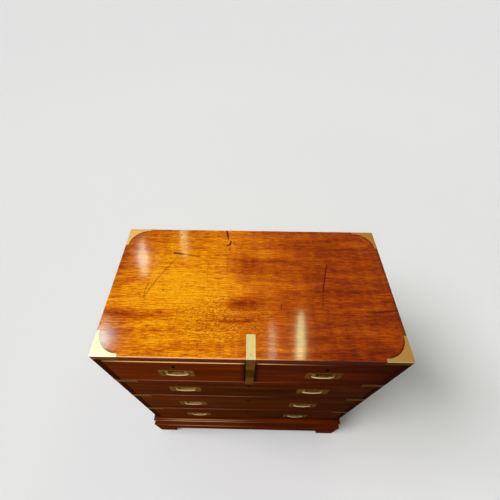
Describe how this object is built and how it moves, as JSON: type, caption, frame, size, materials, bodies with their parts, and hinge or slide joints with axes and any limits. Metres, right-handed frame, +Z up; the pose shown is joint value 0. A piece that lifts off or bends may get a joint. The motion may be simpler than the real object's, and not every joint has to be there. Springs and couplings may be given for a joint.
{
  "type": "campaign chest of drawers",
  "caption": "Brass-bound mahogany campaign chest of short and long drawers with flush bail pulls, on a moulded plinth with bracket feet.",
  "frame": {"origin": "on the floor, in the middle of the chest's whole footprint", "axes": "+Z up, drawer fronts face -Y, +X to the right of someone who faces the drawers"},
  "size_m": [0.928, 0.491, 1.089],
  "materials": {
    "mahogany_top": "French polished",
    "mahogany": "French polished",
    "mahogany_front": "French polished",
    "mahogany_base": "French polished",
    "oak_lining": "planed and waxed",
    "pine": "planed, left bare",
    "brass_binding": "hand polished",
    "brass_pull": "cast, worn by hands",
    "brass_screw": "turned, slotted",
    "lock_brass": "dull, tarnished",
    "lock_steel": "filed, oiled"
  },
  "bodies": {
    "carcass": {"top_board": "mahogany_top", "left_side": "mahogany", "right_side": "mahogany", "back_boards": "pine", "bottom_board": "mahogany", "lower_rail": "mahogany", "middle_rail": "mahogany", "upper_rail": "mahogany", "top_rail": "mahogany", "short_drawer_divider": "mahogany", "drawer_runners": "pine", "drawer_stops": "pine", "corner_brasses": "brass_binding", "centre_strap": "brass_binding", "edge_straps": "brass_binding", "brass_screws": "brass_screw", "base_moulding": "mahogany_base", "plinth_front": "mahogany_base", "plinth_sides": "mahogany_base", "plinth_back": "pine", "bracket_feet": "mahogany_base", "foot_blocks": "pine"},
    "short_left_drawer": {"short_left_drawer_front": "mahogany_front", "short_left_drawer_box": "oak_lining", "short_left_pull_plates": "brass_pull", "short_left_pull_screws": "brass_screw", "short_left_lock": "lock_brass"},
    "short_left_lock_bolt": {"short_left_lock_bolt": "lock_steel"},
    "short_left_bail": {"short_left_bail": "brass_pull"},
    "short_right_drawer": {"short_right_drawer_front": "mahogany_front", "short_right_drawer_box": "oak_lining", "short_right_pull_plates": "brass_pull", "short_right_pull_screws": "brass_screw", "short_right_lock": "lock_brass"},
    "short_right_lock_bolt": {"short_right_lock_bolt": "lock_steel"},
    "short_right_bail": {"short_right_bail": "brass_pull"},
    "long_upper_drawer": {"long_upper_drawer_front": "mahogany_front", "long_upper_drawer_box": "oak_lining", "long_upper_pull_plates": "brass_pull", "long_upper_pull_screws": "brass_screw", "long_upper_lock": "lock_brass"},
    "long_upper_lock_bolt": {"long_upper_lock_bolt": "lock_steel"},
    "long_upper_bail_left": {"long_upper_bail_left": "brass_pull"},
    "long_upper_bail_right": {"long_upper_bail_right": "brass_pull"},
    "long_middle_drawer": {"long_middle_drawer_front": "mahogany_front", "long_middle_drawer_box": "oak_lining", "long_middle_pull_plates": "brass_pull", "long_middle_pull_screws": "brass_screw", "long_middle_lock": "lock_brass"},
    "long_middle_lock_bolt": {"long_middle_lock_bolt": "lock_steel"},
    "long_middle_bail_left": {"long_middle_bail_left": "brass_pull"},
    "long_middle_bail_right": {"long_middle_bail_right": "brass_pull"},
    "long_lower_drawer": {"long_lower_drawer_front": "mahogany_front", "long_lower_drawer_box": "oak_lining", "long_lower_pull_plates": "brass_pull", "long_lower_pull_screws": "brass_screw", "long_lower_lock": "lock_brass"},
    "long_lower_lock_bolt": {"long_lower_lock_bolt": "lock_steel"},
    "long_lower_bail_left": {"long_lower_bail_left": "brass_pull"},
    "long_lower_bail_right": {"long_lower_bail_right": "brass_pull"}
  },
  "joints": [
    {"name": "short_left_drawer_slide", "type": "slide", "parent": "carcass", "child": "short_left_drawer", "axis": [0, -1, 0], "range_m": [0, 0.34]},
    {"name": "short_left_bolt_slide", "type": "slide", "parent": "short_left_drawer", "child": "short_left_lock_bolt", "axis": [0, 0, 1], "range_m": [0, 0.006]},
    {"name": "short_left_bail_hinge", "type": "hinge", "parent": "short_left_drawer", "child": "short_left_bail", "pos_m": [-0.2235, -0.2175, 0.962], "axis": [-1, 0, 0], "range_deg": [0, 90]},
    {"name": "short_right_drawer_slide", "type": "slide", "parent": "carcass", "child": "short_right_drawer", "axis": [0, -1, 0], "range_m": [0, 0.34]},
    {"name": "short_right_bolt_slide", "type": "slide", "parent": "short_right_drawer", "child": "short_right_lock_bolt", "axis": [0, 0, 1], "range_m": [0, 0.006]},
    {"name": "short_right_bail_hinge", "type": "hinge", "parent": "short_right_drawer", "child": "short_right_bail", "pos_m": [0.2235, -0.2175, 0.962], "axis": [-1, 0, 0], "range_deg": [0, 90]},
    {"name": "long_upper_drawer_slide", "type": "slide", "parent": "carcass", "child": "long_upper_drawer", "axis": [0, -1, 0], "range_m": [0, 0.34]},
    {"name": "long_upper_bolt_slide", "type": "slide", "parent": "long_upper_drawer", "child": "long_upper_lock_bolt", "axis": [0, 0, 1], "range_m": [0, 0.006]},
    {"name": "long_upper_bail_left_hinge", "type": "hinge", "parent": "long_upper_drawer", "child": "long_upper_bail_left", "pos_m": [-0.2235, -0.2175, 0.78], "axis": [-1, 0, 0], "range_deg": [0, 90]},
    {"name": "long_upper_bail_right_hinge", "type": "hinge", "parent": "long_upper_drawer", "child": "long_upper_bail_right", "pos_m": [0.2235, -0.2175, 0.78], "axis": [-1, 0, 0], "range_deg": [0, 90]},
    {"name": "long_middle_drawer_slide", "type": "slide", "parent": "carcass", "child": "long_middle_drawer", "axis": [0, -1, 0], "range_m": [0, 0.34]},
    {"name": "long_middle_bolt_slide", "type": "slide", "parent": "long_middle_drawer", "child": "long_middle_lock_bolt", "axis": [0, 0, 1], "range_m": [0, 0.006]},
    {"name": "long_middle_bail_left_hinge", "type": "hinge", "parent": "long_middle_drawer", "child": "long_middle_bail_left", "pos_m": [-0.2235, -0.2175, 0.5615], "axis": [-1, 0, 0], "range_deg": [0, 90]},
    {"name": "long_middle_bail_right_hinge", "type": "hinge", "parent": "long_middle_drawer", "child": "long_middle_bail_right", "pos_m": [0.2235, -0.2175, 0.5615], "axis": [-1, 0, 0], "range_deg": [0, 90]},
    {"name": "long_lower_drawer_slide", "type": "slide", "parent": "carcass", "child": "long_lower_drawer", "axis": [0, -1, 0], "range_m": [0, 0.34]},
    {"name": "long_lower_bolt_slide", "type": "slide", "parent": "long_lower_drawer", "child": "long_lower_lock_bolt", "axis": [0, 0, 1], "range_m": [0, 0.006]},
    {"name": "long_lower_bail_left_hinge", "type": "hinge", "parent": "long_lower_drawer", "child": "long_lower_bail_left", "pos_m": [-0.2235, -0.2175, 0.338], "axis": [-1, 0, 0], "range_deg": [0, 90]},
    {"name": "long_lower_bail_right_hinge", "type": "hinge", "parent": "long_lower_drawer", "child": "long_lower_bail_right", "pos_m": [0.2235, -0.2175, 0.338], "axis": [-1, 0, 0], "range_deg": [0, 90]}
  ]
}
